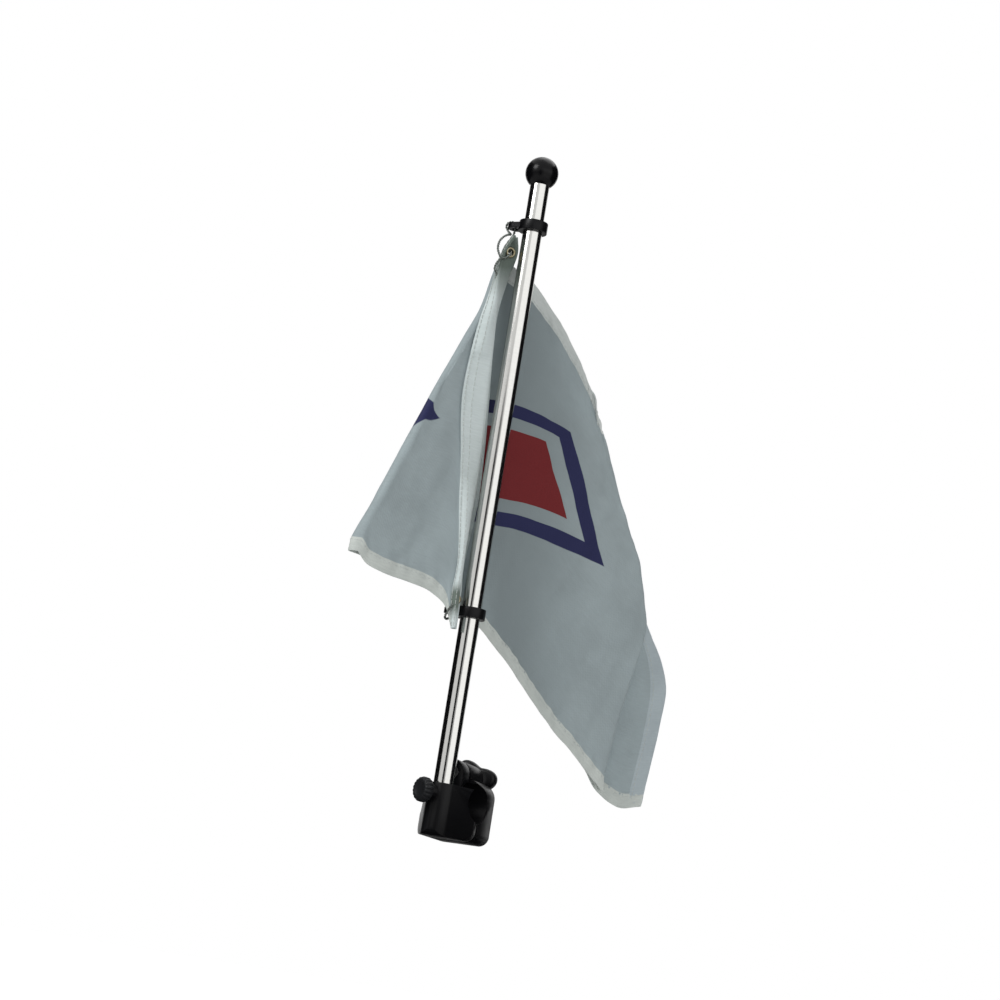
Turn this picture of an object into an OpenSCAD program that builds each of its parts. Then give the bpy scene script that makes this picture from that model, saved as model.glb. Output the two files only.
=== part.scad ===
// Rail-mounted flagpole for a small boat: a slim steel pole with a ball top stands in a
// two-part rail clamp, and a small flag hangs from two clips on the pole.
// Origin: the axis of the rail that the clamp grips, at the middle of the clamp.
// X runs along the rail, +Y to the rear where the hand knob is, +Z up along the pole.

/* [Pole] */
// Outer diameter of the pole tube
pole_d = 12.7; // [10:0.1:14]
// Wall thickness of the pole tube
pole_wall = 1.2; // [0.8:0.1:2]
// Length of the pole tube
pole_len = 431; // [400:1:500]
// Diameter of the ball on the top
ball_d = 21.6; // [18:0.1:30]

/* [Clamp] */
// Diameter of the rail that the clamp grips
rail_d = 25.4; // [22:0.1:28]
// Distance from the rail axis forward to the pole axis
pole_offset = 22; // [21:0.5:24]
// Width of the clamp along the rail
clamp_w = 36.6; // [34:0.2:44]
// Outer diameter of the pole socket
socket_d = 18.6; // [17:0.1:22]
// Height of the clamp screw above the rail axis
screw_z = 17.2; // [17:0.1:22]
// Tip radius of the three-lobed hand knob
knob_r = 15; // [14:0.1:20]
// Diameter of the small knob that locks the pole
lock_knob_d = 15.8; // [12:0.1:18]

/* [Flag] */
// Height of the upper clip above the rail axis
upper_clip_z = 372; // [350:1:375]
// Height of the lower clip above the rail axis
lower_clip_z = 116; // [112:1:120]
// Direction in plan that the flag trails in, from the rail towards the rear
flag_turn = 51.3; // [20:0.1:70]
// Thickness of the solids that stand for the cloth
cloth_t = 2.4; // [1.5:0.1:3]

/* [Hidden] */
$fn = 64;
hull_fn = 32;
eps = 0.01;
fit = 0.05;               // radial play of a shaft in its hole
slide_play = 0.3;         // play of the jaw's tongue in its pocket
pole_r = pole_d / 2;
rail_r = rail_d / 2;
ball_r = ball_d / 2;

// clamp
face_gap = 1;             // half of the gap between the two halves of the clamp
socket_r = socket_d / 2;
socket_floor = -22;
clamp_bottom = -24.4;
clamp_corner = 6.5;       // radius of the lower corners of both halves
socket_toe = 5;           // radius of the front lower edge of the socket
body_top = 8;
body_rim = 6;             // depth of the front half at its outer ends
jaw_back = 26;            // rear face of the jaw
jaw_top = 15;
lug_r = 8.5;              // rounded lugs that the clamp screw passes through
lug_front = -13;
tongue_w = 14;            // the tongue below the rail that keeps the jaw square
tongue_t = 3;
tongue_z = -17;
tongue_len = 11;
// clamp screw
screw_r = 3;
screw_tip = -8.5;
nut_flats = 10;
nut_t = 5;
nut_front = -12;
washer_r = 7;
washer_t = 1.2;
knob_front = jaw_back + washer_t;
knob_hub_t = 1.8;
knob_t = 8.5;
knob_hub_r = 6.4;
knob_mid_r = 12.2;         // the lobed outline swings about this radius
knob_swing = knob_r - knob_mid_r;
knob_lobes = 3;
knob_turn = 12;           // angle of the first lobe above the rail direction
knob_points = 96;
// lock screw
lock_turn = 240;          // direction in plan that the lock screw points out in
lock_z = 2;
lock_r = 2.5;
lock_boss_r = 5.2;
lock_boss_end = 11.4;
lock_knob_start = 12;
lock_knob_t = 6.4;
// clips
clip_r = pole_r + 3;
clip_h = 6.6;
eye_r = 5;
eye_hole_r = 2.3;
eye_reach = 12;
eye_t = 3.6;
upper_eye_turn = 129;
lower_eye_turn = 146;
// The flag is drawn in its own plan coordinates, centred on the pole: p along the way that
// the cloth trails, n across it to the rear. Its layers lie at these places on n.
front_n = 4;
back_n = 13;
fly_n = 19;
// heading: height, then the plan points of its free edge and of its seam
heading = [[104, [-10.5, -2], [-14, -2.5]], [123, [-10, -0.5], [-16.5, -1]],
           [148, [-6, 8.8], [-13.8, 3]], [187, [-3, 9.3], [-19.5, 4]],
           [215, [-7, 7], [-24, 4]], [254, [-11.2, 3.5], [-29.5, 4.5]],
           [300, [-13.5, 2.5], [-26, 4.5]], [319, [-12.5, 3], [-22.3, 4.5]],
           [353, [-7.5, 2.5], [-17, 4]], [363, [-9, 2.5], [-12.5, 3]]];
// panels: height, then where each edge lies on p
front_fold = [[121.5, -20, -18.3], [127, -48, -17.8], [130, -74, -17.5], [137.6, -87.8, -16.5],
              [148, -85.9, -15.8], [187, -71.3, -21.4], [215, -61.4, -25.9], [254, -47.8, -31.4],
              [285, -35.4, -29.5], [308, -29.8, -26.8]];
back_panel = [[24, 125.5, 127.5], [44, 101.6, 127.2], [68, 69.5, 131.5], [95, 38, 136.6],
              [112, 13.5, 140], [124, -25, 142], [133, -62, 143.5], [138, -86.8, 143.9],
              [156, -82, 138], [181, -73, 129], [202, -65.6, 117], [223, -58.2, 105],
              [244, -50.8, 93.9], [268, -42.2, 80.5], [289, -33.4, 68.6], [309, -26, 52.8],
              [326, -21.5, 34.3], [340, -15.5, 16.7], [347, -12, -4]];
fly_fold = [[26, 130, 162], [50, 120, 166.5], [74, 110, 168.8], [103, 100, 169.8],
            [120, 95, 162.9], [137, 90, 149], [160, 84, 136], [190, 78, 122],
            [223, 72, 103], [250, 70, 88]];
// Each wire link passes upright through an eye and level through a grommet
wire_r = 0.7;
upper_grommet_at = [-12.2, 3.2, 352];
lower_grommet_at = [-13.2, -0.8, 122.5];
upper_link_top = 379;
lower_link_bottom = 102;
grommet_r = 3.6;
grommet_hole_r = 1.9;
grommet_t = 2.8;

// A closed solid through stacked four-cornered sections; each row is [height, edge, edge]
module ribbon(rows, thick) {
    count = len(rows);
    points = [for (row = rows)
        let (side = row[2] - row[1],
             across = [side[1], -side[0]] / norm(side) * thick / 2)
        each [for (p = [row[1] - across, row[2] - across, row[2] + across, row[1] + across])
            [p[0], p[1], row[0]]]];
    sides = [for (i = [0 : count - 2], j = [0 : 3])
        let (a = 4 * i + j, b = 4 * i + (j + 1) % 4)
        each [[a, a + 4, b], [b, a + 4, b + 4]]];
    last = 4 * (count - 1);
    ends = [[0, 1, 2], [0, 2, 3], [last, last + 2, last + 1], [last, last + 3, last + 2]];
    polyhedron(points, concat(sides, ends), convexity = 4);
}

// Children are drawn in plan coordinates centred on the pole and turned with the flag
module on_flag() {
    translate([0, -pole_offset, 0]) rotate([0, 0, flag_turn]) children();
}

module along_rail(width) {
    translate([-width / 2, 0, 0]) rotate([90, 0, 90]) linear_extrude(width) children();
}

module along_screw(front, back) {
    translate([0, back, 0]) rotate([90, 0, 0]) linear_extrude(back - front) children();
}

// Both halves have the same outline seen along the screw, apart from their tops
module clamp_outline(top, top_corner) {
    hull() for (side = [-1, 1]) {
        translate([side * (clamp_w / 2 - clamp_corner), clamp_bottom + clamp_corner]) circle(clamp_corner);
        translate([side * (clamp_w / 2 - top_corner), top - top_corner]) circle(top_corner);
    }
}

// clamp body: the front half, which narrows in plan to the socket for the pole
module clamp_body() {
    color("#1b1c1e") difference() {
        union() {
            intersection() {
                translate([0, 0, clamp_bottom]) linear_extrude(body_top - clamp_bottom) hull() {
                    translate([0, -pole_offset]) circle(socket_r);
                    translate([-clamp_w / 2, -body_rim]) square([clamp_w, body_rim - face_gap]);
                }
                along_screw(-pole_offset - socket_r, -face_gap) clamp_outline(body_top, 2);
                along_rail(clamp_w + 2) hull() {
                    translate([-pole_offset - socket_r + socket_toe, clamp_bottom + socket_toe])
                        circle(socket_toe);
                    translate([-pole_offset - socket_r, 0]) square([pole_offset + socket_r, body_top]);
                    translate([-1, clamp_bottom]) square(1);
                }
            }
            translate([0, -pole_offset, lock_z]) rotate([0, 0, lock_turn]) rotate([0, 90, 0])
                cylinder(h = lock_boss_end, r = lock_boss_r);
            along_screw(lug_front, -face_gap) {
                translate([0, screw_z]) circle(lug_r);
                translate([-lug_r, 0]) square([2 * lug_r, screw_z]);
            }
        }
        along_rail(clamp_w + 2) circle(rail_r);
        translate([0, -pole_offset, socket_floor]) cylinder(h = 60, r = pole_r + fit);
        translate([0, -pole_offset, lock_z]) rotate([0, 0, lock_turn]) rotate([0, 90, 0])
            cylinder(h = 30, r = lock_r + fit);
        translate([0, 0, screw_z]) rotate([90, 0, 0]) cylinder(h = -screw_tip + 2, r = screw_r + fit);
        translate([0, nut_front + nut_t, screw_z]) rotate([90, 0, 0])
            cylinder(h = 20, r = nut_flats / sqrt(3) + 0.1, $fn = 6);
        translate([-tongue_w / 2 - slide_play, -12, tongue_z - tongue_t - slide_play])
            cube([tongue_w + 2 * slide_play, 12, tongue_t + 2 * slide_play]);
    }
}

// clamp nut: a hexagon nut held in a pocket in the front of the lug
module clamp_nut() {
    color("#b9bcc0") difference() {
        translate([0, nut_front + nut_t, screw_z]) rotate([90, 0, 0])
            cylinder(h = nut_t, r = nut_flats / sqrt(3), $fn = 6);
        translate([0, 0, screw_z]) rotate([90, 0, 0]) cylinder(h = 30, r = screw_r + fit);
    }
}

// clamp jaw: the rear half, drawn up to the rail by the screw
module clamp_jaw() {
    color("#1b1c1e") difference() {
        union() {
            along_screw(face_gap, jaw_back) clamp_outline(jaw_top, 10);
            along_screw(face_gap, jaw_back) {
                translate([0, screw_z]) circle(lug_r);
                translate([-lug_r, 8]) square([2 * lug_r, screw_z - 8]);
            }
            translate([-tongue_w / 2, face_gap - tongue_len, tongue_z - tongue_t])
                cube([tongue_w, tongue_len + 1, tongue_t]);
        }
        along_rail(clamp_w + 2) circle(rail_r);
        translate([0, jaw_back + 1, screw_z]) rotate([90, 0, 0])
            cylinder(h = jaw_back + 2, r = screw_r + fit);
    }
}

module clamp_screw() {
    color("#c3c6c9") translate([0, knob_front + 7, screw_z]) rotate([90, 0, 0])
        cylinder(h = knob_front + 7 - screw_tip, r = screw_r);
}

module clamp_washer() {
    color("#c3c6c9") translate([0, knob_front, screw_z]) rotate([90, 0, 0]) difference() {
        cylinder(h = washer_t - 0.1, r = washer_r);
        translate([0, 0, -1]) cylinder(h = washer_t + 2, r = screw_r);
    }
}

// clamp knob: three rounded lobes around a hub
module clamp_knob() {
    lobed = [for (i = [0 : knob_points - 1])
        let (a = 360 * i / knob_points, r = knob_mid_r + knob_swing * cos(knob_lobes * (a - knob_turn)))
        [r * cos(a), r * sin(a)]];
    color("#1b1c1e") difference() {
        union() {
            translate([0, 0, screw_z]) along_screw(knob_front + knob_hub_t, knob_front + knob_hub_t + knob_t)
                polygon(lobed);
            translate([0, knob_front + knob_hub_t + 1, screw_z]) rotate([90, 0, 0])
                cylinder(h = knob_hub_t + 1, r = knob_hub_r);
        }
        translate([0, knob_front + 7, screw_z]) rotate([90, 0, 0]) cylinder(h = 20, r = screw_r);
    }
}

// Children are drawn along +Z and laid along the lock screw, away from the pole
module on_lock() {
    translate([0, -pole_offset, lock_z]) rotate([0, 0, lock_turn]) rotate([0, 90, 0]) children();
}

module lock_screw() {
    color("#c3c6c9") on_lock() translate([0, 0, pole_r + 0.2])
        cylinder(h = lock_knob_start + 3 - pole_r - 0.2, r = lock_r);
}

module lock_knob() {
    color("#26272a") on_lock() difference() {
        translate([0, 0, lock_knob_start]) rotate_extrude() hull() {
            square([1, lock_knob_t]);
            translate([lock_knob_d / 2 - 2, 2]) circle(2, $fn = hull_fn);
            translate([lock_knob_d / 2 - 2.6, lock_knob_t - 2.6]) circle(2.6, $fn = hull_fn);
        }
        translate([0, 0, lock_knob_start - 1]) cylinder(h = 4, r = lock_r);
    }
}

// pole tube: stands on the socket's floor
module pole_tube() {
    color("#c8cbcf") translate([0, -pole_offset, socket_floor + 0.1]) difference() {
        cylinder(h = pole_len, r = pole_r);
        translate([0, 0, -1]) cylinder(h = pole_len + 2, r = pole_r - pole_wall);
    }
}

ball_z = socket_floor + 0.1 + pole_len;

module ball_finial() {
    color("#17181a") translate([0, -pole_offset, ball_z]) difference() {
        sphere(ball_r);
        translate([0, 0, -2 * ball_r]) cylinder(h = 2 * ball_r, r = pole_r);
    }
}

// A clip: a ring on the pole with a flat eye at its side
module clip(z, turn) {
    eye = eye_at(turn);
    color("#1b1c1e") on_flag() translate([0, 0, z]) difference() {
        union() {
            translate([0, 0, -clip_h / 2]) cylinder(h = clip_h, r = clip_r);
            translate([0, 0, -eye_t / 2]) linear_extrude(eye_t) hull() {
                translate(eye) circle(eye_r);
                circle(clip_r - 2);
            }
        }
        translate([0, 0, -clip_h]) cylinder(h = 2 * clip_h, r = pole_r + fit);
        translate([eye[0], eye[1], -clip_h]) cylinder(h = 2 * clip_h, r = eye_hole_r);
    }
}

module upper_clip() { clip(upper_clip_z, upper_eye_turn); }

module lower_clip() { clip(lower_clip_z, lower_eye_turn); }

function eye_at(turn) = [eye_reach * cos(turn), eye_reach * sin(turn)];

// A wire link in an upright plane: one side stands in the eye, and one end lies in the grommet
module link(eye, at, low, high) {
    way = [at[0] - eye[0], at[1] - eye[1]];
    r = norm(way);
    color("#c9cdce") on_flag() translate([at[0], at[1], 0])
        rotate([0, 0, atan2(way[1], way[0])]) rotate([90, 0, 0]) {
            for (end = [[low + r, 180], [high - r, 0]])
                translate([0, end[0], 0]) rotate([0, 0, end[1]])
                    rotate_extrude(angle = 180) translate([r, 0]) circle(wire_r, $fn = 16);
            for (side = [-r, r])
                translate([side, low + r, 0]) rotate([-90, 0, 0])
                    cylinder(h = high - low - 2 * r, r = wire_r, $fn = 16);
        }
}

module upper_tie() { link(eye_at(upper_eye_turn), upper_grommet_at, upper_grommet_at[2], upper_link_top); }

module lower_tie() { link(eye_at(lower_eye_turn), lower_grommet_at, lower_link_bottom, lower_grommet_at[2]); }

module grommet_bar(at, r, length) {
    translate(at) rotate([90, 0, 0]) translate([0, 0, -length / 2]) cylinder(h = length, r = r);
}

// A metal eyelet pressed through the heading
module grommet(at) {
    color("#b9b08a") on_flag() difference() {
        grommet_bar(at, grommet_r, grommet_t);
        grommet_bar(at, grommet_hole_r, 2 * grommet_t);
    }
}

module upper_grommet() { grommet(upper_grommet_at); }

module lower_grommet() { grommet(lower_grommet_at); }

module flag_heading() {
    color("#dfe3e2") on_flag() difference() {
        ribbon(heading, cloth_t);
        grommet_bar(upper_grommet_at, grommet_hole_r, 4 * grommet_t);
        grommet_bar(lower_grommet_at, grommet_hole_r, 4 * grommet_t);
    }
}

// A layer of the cloth, upright and flat, at n behind the pole axis
module layer(rows, n) {
    on_flag() ribbon([for (row = rows) [row[0], [row[1], n], [row[2], n]]], cloth_t);
}

module flag_front_fold() { color("#a9b3ba") layer(front_fold, front_n); }

module flag_back_panel() { color("#9fabb3") layer(back_panel, back_n); }

module flag_fly_fold() { color("#b4bdc3") layer(fly_fold, fly_n); }

clamp_body();
clamp_nut();
clamp_jaw();
clamp_screw();
clamp_washer();
clamp_knob();
lock_screw();
lock_knob();
pole_tube();
ball_finial();
upper_clip();
lower_clip();
upper_tie();
lower_tie();
upper_grommet();
lower_grommet();
flag_heading();
flag_front_fold();
flag_back_panel();
flag_fly_fold();
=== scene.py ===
"""Rail-mounted boat flagpole: finishes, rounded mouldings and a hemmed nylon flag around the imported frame."""

import math

import bmesh
import bpy
import numpy as np
from mathutils import Matrix, Vector, noise


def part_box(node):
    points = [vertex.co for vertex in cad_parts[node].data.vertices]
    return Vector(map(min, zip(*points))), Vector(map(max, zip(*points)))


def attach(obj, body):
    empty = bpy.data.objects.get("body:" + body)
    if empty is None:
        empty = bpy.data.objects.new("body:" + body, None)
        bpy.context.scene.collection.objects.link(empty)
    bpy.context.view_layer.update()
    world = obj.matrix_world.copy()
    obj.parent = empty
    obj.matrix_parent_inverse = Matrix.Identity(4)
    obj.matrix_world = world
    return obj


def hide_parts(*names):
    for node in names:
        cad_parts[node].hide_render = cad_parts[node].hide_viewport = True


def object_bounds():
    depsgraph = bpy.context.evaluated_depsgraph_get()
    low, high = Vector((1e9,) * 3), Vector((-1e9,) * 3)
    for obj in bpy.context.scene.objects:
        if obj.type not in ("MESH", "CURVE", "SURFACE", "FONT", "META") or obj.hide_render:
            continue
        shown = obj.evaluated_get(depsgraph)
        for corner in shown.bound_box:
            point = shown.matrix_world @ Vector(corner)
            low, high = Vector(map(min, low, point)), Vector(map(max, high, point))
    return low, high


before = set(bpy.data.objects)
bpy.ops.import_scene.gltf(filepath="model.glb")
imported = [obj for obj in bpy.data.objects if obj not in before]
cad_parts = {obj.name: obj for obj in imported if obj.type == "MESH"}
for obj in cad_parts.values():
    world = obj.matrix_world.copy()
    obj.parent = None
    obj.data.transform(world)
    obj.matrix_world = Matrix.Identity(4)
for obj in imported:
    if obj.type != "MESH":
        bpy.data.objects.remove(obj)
cad_low, cad_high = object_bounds()

MM = 0.001

# ----------------------------------------
# Driving dimensions, in millimetres, in the frame of the rail clamp
# ----------------------------------------
pole_low, pole_high = (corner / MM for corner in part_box("pole_tube"))
POLE_RADIUS = (pole_high.x - pole_low.x) / 2
POLE_BACK = (pole_low.y + pole_high.y) / 2      # the pole's axis stands this far behind the rail
FLAG_TURN = math.radians(51.3)                  # the way in plan that the flag trails in
LOCK_TURN = math.radians(240)                   # the way in plan that the lock screw points out in
LOCK_HEIGHT = 2

FLAG_HEIGHT = 254                               # cut size of the cloth
HEADING_SIDE = 10       # the heading is bent lengthwise: this much of it turns towards the pole
HEADING_FACE = 15
HEM_WIDTH = 8
CLOTH_THICKNESS = 0.3

# Painted shade and print on the cloth, laid flat
POLE_ACROSS_CLOTH = 242 # where the pole's line meets the cloth's bottom
POLE_SLANT = 0.824      # how far that line leans to the heading for each millimetre up
POLE_SHADE_REACH = 95          # painted shade reaches this far from the line
HEADING_SHADE_FADE = 2.4  # and fades this much faster on the heading's side
PRINT_MIDDLE = (146, 116)
PRINT_DIAMONDS = (("#272B58", 96, 66), (None, 74, 51), ("#7E2226", 54, 37))   # ink and half sizes
GROMMET_SHADES = (((11, 243, 0), 34), ((10, 18, 0), 12))        # middle and reach of the painted shade round each grommet
# how far the edge of the painted shade wanders
GROMMET_SHADE_WANDER = 14


# ----------------------------------------
# Materials
# ----------------------------------------
def linear(colour):
    """An sRGB hex colour as the linear RGBA that a shader takes."""
    parts = [int(colour[i:i + 2], 16) / 255 for i in (1, 3, 5)]
    return [c / 12.92 if c <= 0.04045 else ((c + 0.055) / 1.055) ** 2.4 for c in parts] + [1]


def node(tree, kind, values=None, links=None, **settings):
    """Adds a shader node with its settings, its input values and its links."""
    made = tree.nodes.new("ShaderNode" + kind)
    for name, value in settings.items():
        setattr(made, name, value)
    for socket, value in (values or {}).items():
        made.inputs[socket].default_value = value
    for socket, source in (links or {}).items():
        tree.links.new(source, made.inputs[socket])
    return made


def new_material(name):
    """A named material with an empty node tree, and that tree."""
    material = bpy.data.materials.new(name)
    material.use_nodes = True
    material.node_tree.nodes.clear()
    return material, material.node_tree


def finish(material, shader):
    """Joins the last shader to the material's output."""
    tree = material.node_tree
    node(tree, "OutputMaterial", links={"Surface": shader.outputs[0]})
    return material


def blend(tree, share, first, second):
    """The colour between two tones, by a share from 0 to 1."""
    mixed = node(tree, "Mix", {6: linear(first), 7: linear(second)}, {0: share}, data_type="RGBA")
    return mixed.outputs[2]


def spread(tree, value, low, high, start=0, end=1):
    """A value that runs from start to end, spread over low to high."""
    return node(tree, "MapRange", {"From Min": start, "From Max": end, "To Min": low, "To Max": high},
                {"Value": value}).outputs[0]


def speckle(tree, size, detail, roughness=0.5, distortion=0):
    """Cloudy noise over a piece, with a grain of this size in millimetres."""
    place = node(tree, "TexCoord")
    return node(tree, "TexNoise", {"Scale": 1 / (size * MM), "Detail": detail, "Roughness": roughness,
                                   "Distortion": distortion},
                {"Vector": place.outputs["Object"]}).outputs["Fac"]


def metal(material, colour, roughness, bump=None):
    """Finishes a metal of this colour and roughness, with the bump of its tool marks."""
    links = {"Base Color": colour, "Roughness": roughness}
    if bump:
        links["Normal"] = bump.outputs[0]
    return finish(material, node(material.node_tree, "BsdfPrincipled", {"Metallic": 1}, links))


def polished_steel():
    """Polished 316 stainless tube, drawn and then belt polished.
    The eye gets a dark and bright mirror with the softest of lines round it, and no grain."""
    material, tree = new_material("stainless_steel_belt_polished")
    place = node(tree, "TexCoord")
    # polishing lines run round the tube and are 0.05 mm apart, drawn at 0.6 mm so that they show
    lines = node(tree, "Mapping", {"Scale": (1 / (9 * MM), 1 / (9 * MM), 1 / (0.6 * MM))},
                 {"Vector": place.outputs["Object"]})
    streaks = node(tree, "TexNoise", {"Scale": 1, "Detail": 3, "Roughness": 0.6},
                   {"Vector": lines.outputs[0]}).outputs["Fac"]
    rough = spread(tree, speckle(tree, 35, 4, 0.55), 0.1, 0.17, 0.3, 0.75)
    bump = node(tree, "Bump", {"Strength": 0.05, "Distance": 0.02 * MM}, {"Height": streaks})
    return metal(material, blend(tree, streaks, "#CAC9C5", "#BCBCBA"), rough, bump)


def turned_steel():
    """Stainless fasteners, rolled thread and turned faces.
    The eye gets a greyer and softer metal than the tube, with rings from the tool."""
    material, tree = new_material("stainless_steel_turned")
    place = node(tree, "TexCoord")
    # tool marks are about 0.1 mm apart, drawn at 2.4 mm so that they show
    rings = node(tree, "TexWave", {"Scale": 1 / (1.2 * MM) / 6.3, "Distortion": 1.5, "Detail": 2},
                 {"Vector": place.outputs["Object"]}, wave_type="RINGS", rings_direction="Y")
    grime = speckle(tree, 4, 5, 0.6)
    bump = node(tree, "Bump", {"Strength": 0.12, "Distance": 0.03 * MM}, {"Height": rings.outputs["Fac"]})
    return metal(material, blend(tree, grime, "#A9AAAB", "#8D8E90"), spread(tree, grime, 0.24, 0.4), bump)


def moulded_nylon(name, colour, worn, roughness, grain):
    """Black nylon 66, injection moulded in a spark-eroded tool.
    The eye gets a deep satin black with a fine even grain, a little greyer where hands rub it."""
    material, tree = new_material(name)
    # spark-eroded grain is about 0.1 mm, drawn at 0.7 mm so that it shows
    pits = speckle(tree, 0.7, 4, 0.7)
    flow = speckle(tree, 14, 3, 0.5, 0.6)
    edges = spread(tree, node(tree, "NewGeometry").outputs["Pointiness"], 0, 0.6, 0.52, 0.62)
    tone_shift = node(tree, "Math", links={0: edges, 1: flow}, operation="MULTIPLY")
    bump = node(tree, "Bump", {"Strength": grain, "Distance": 0.06 * MM}, {"Height": pits})
    plastic = node(tree, "BsdfPrincipled", {"IOR": 1.53, "Specular IOR Level": 0.14},
                   {"Base Color": blend(tree, tone_shift.outputs[0], colour, worn),
                    "Roughness": spread(tree, flow, roughness - 0.07, roughness + 0.07),
                    "Normal": bump.outputs[0]})
    return finish(material, plastic)


def weave(tree, flat, spacing):
    """Plain weave over the cloth's flat millimetres: warp and weft threads crossing over and under."""
    turns = node(tree, "VectorMath", {1: (math.pi / spacing, math.pi / spacing, 0)},
                 {0: flat}, operation="MULTIPLY")
    split = node(tree, "SeparateXYZ", links={0: turns.outputs[0]})
    across, along = (node(tree, "Math", links={0: split.outputs[k]}, operation="SINE").outputs[0]
                     for k in (0, 1))
    return node(tree, "Math", links={0: across, 1: along}, operation="MULTIPLY").outputs[0]


def diamond(tree, across, up, middle, half_width, half_height):
    """1 inside a diamond printed on the flat cloth and 0 outside it."""
    sides = []
    for value, centre, half in ((across, middle[0], half_width), (up, middle[1], half_height)):
        away = node(tree, "Math", {1: centre}, {0: value}, operation="SUBTRACT")
        size = node(tree, "Math", links={0: away.outputs[0]}, operation="ABSOLUTE")
        sides.append(node(tree, "Math", {1: half}, {0: size.outputs[0]}, operation="DIVIDE"))
    total = node(tree, "Math", links={0: sides[0].outputs[0], 1: sides[1].outputs[0]}, operation="ADD")
    # the dye bleeds by about half a millimetre
    return spread(tree, total.outputs[0], 0, 1, 1.006, 0.994)


def woven_cloth(name, colour, shade, spacing, roughness, see_through, sheen, printed=False, shaded_at_grommets=False):
    """Woven cloth, light enough for some light to come through it.
    The eye gets a dry, even face with a faint weave, softly brighter at grazing angles."""
    material, tree = new_material(name)
    flat = node(tree, "UVMap", uv_map="flat_millimetres")
    size = node(tree, "VectorMath", {1: (1000, 1000, 0)}, {0: flat.outputs[0]}, operation="MULTIPLY")
    threads = weave(tree, size.outputs[0], spacing)
    slubs = node(tree, "Mapping", {"Scale": (0.12, 0.9, 1)}, {"Vector": size.outputs[0]})
    uneven = node(tree, "TexNoise", {"Scale": 1, "Detail": 3, "Roughness": 0.6},
                  {"Vector": slubs.outputs[0]})
    clouds = node(tree, "TexNoise", {"Scale": 0.03, "Detail": 4, "Roughness": 0.55},
                  {"Vector": size.outputs[0]})
    mixed = node(tree, "Mix", {0: 0.6}, {2: uneven.outputs["Fac"], 3: clouds.outputs["Fac"]})
    face = blend(tree, spread(tree, mixed.outputs[0], 0, 1, 0.35, 0.65), colour, shade)
    if printed:
        # painted shade: the cloth is darkened along the pole, which shades it, and the pole's line crosses the
        # flat cloth aslant
        slant = node(tree, "VectorMath", {1: (1, POLE_SLANT, 0)}, {0: size.outputs[0]},
                     operation="DOT_PRODUCT")
        aside = node(tree, "Math", {1: POLE_ACROSS_CLOTH}, {0: slant.outputs["Value"]}, operation="SUBTRACT")
        # the painted shade ends sooner on the heading's side
        behind = node(tree, "Math", {1: -HEADING_SHADE_FADE}, {0: aside.outputs[0]}, operation="MULTIPLY")
        away = node(tree, "Math", links={0: aside.outputs[0], 1: behind.outputs[0]}, operation="MAXIMUM")
        pole_shade = node(tree, "MapRange", {"From Min": POLE_SHADE_REACH, "From Max": 5, "To Min": 0, "To Max": 0.85},
                   {"Value": away.outputs[0]}, interpolation_type="SMOOTHSTEP")
        # the dark grey-blue of the painted shade near the pole
        tone_shift = node(tree, "Mix", {7: linear("#8F9A9D")}, {0: pole_shade.outputs[0], 6: face}, data_type="RGBA")
        face = tone_shift.outputs[2]
    plain = face
    if shaded_at_grommets:
        # painted shade: the canvas is darkened in ragged patches round the grommets, widest at the heading's
        # top, which stands in shade
        for middle, reach in GROMMET_SHADES:
            away = node(tree, "VectorMath", {1: middle}, {0: size.outputs[0]}, operation="DISTANCE")
            ragged = node(tree, "Math", {1: GROMMET_SHADE_WANDER},
                          {0: clouds.outputs["Fac"], 2: away.outputs["Value"]}, operation="MULTIPLY_ADD")
            start, end = (share * reach + GROMMET_SHADE_WANDER / 2 for share in (1, 0.35))
            shade_share = spread(tree, ragged.outputs[0], 0, 0.95, start, end)
            # the grey-green of the painted shade
            shaded_canvas = node(tree, "Mix", {7: linear("#5F6B62")}, {0: shade_share, 6: face}, data_type="RGBA")
            face = shaded_canvas.outputs[2]
    if printed:
        parts = node(tree, "SeparateXYZ", links={0: size.outputs[0]})
        place = (tree, parts.outputs[0], parts.outputs[1], PRINT_MIDDLE)
        for ink, half_width, half_height in PRINT_DIAMONDS:
            # the diamond without an ink shows the plain cloth
            inks, below = ({7: linear(ink)}, {6: face}) if ink else ({}, {6: face, 7: plain})
            layer = node(tree, "Mix", inks, {0: diamond(*place, half_width, half_height), **below},
                         data_type="RGBA")
            face = layer.outputs[2]
    height = node(tree, "Math", {1: 0.5}, {0: threads, 2: uneven.outputs["Fac"]}, operation="MULTIPLY_ADD")
    bump = node(tree, "Bump", {"Strength": 0.35, "Distance": 0.12 * MM}, {"Height": height.outputs[0]})
    cloth = node(tree, "BsdfPrincipled",
                 {"Roughness": roughness, "IOR": 1.5, "Sheen Weight": sheen, "Sheen Roughness": 0.5,
                  "Specular IOR Level": 0.25},
                 {"Base Color": face, "Normal": bump.outputs[0]})
    glow = node(tree, "BsdfTranslucent", links={"Color": face, "Normal": bump.outputs[0]})
    both = node(tree, "MixShader", {0: see_through}, {1: cloth.outputs[0], 2: glow.outputs[0]})
    return finish(material, both)


def spun_thread():
    """Spun polyester sewing thread: the eye gets small pale raised dashes, duller than the cloth."""
    material, tree = new_material("polyester_spun_thread")
    spun = node(tree, "BsdfPrincipled", {"Roughness": 0.75, "IOR": 1.5, "Specular IOR Level": 0.25,
                                         "Sheen Weight": 0.25, "Sheen Roughness": 0.5},
                {"Base Color": blend(tree, speckle(tree, 0.8, 2), "#CBD0CD", "#B4BAB7")})
    return finish(material, spun)


def twisted_wire():
    """Galvanised tie wire, two strands twisted.
    The eye gets a dull zinc grey with darker spots where the zinc has worn."""
    material, tree = new_material("galvanised_tie_wire")
    spots = speckle(tree, 1.5, 3)
    return metal(material, blend(tree, spots, "#8B908C", "#5E645F"), spread(tree, spots, 0.35, 0.55))


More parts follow.
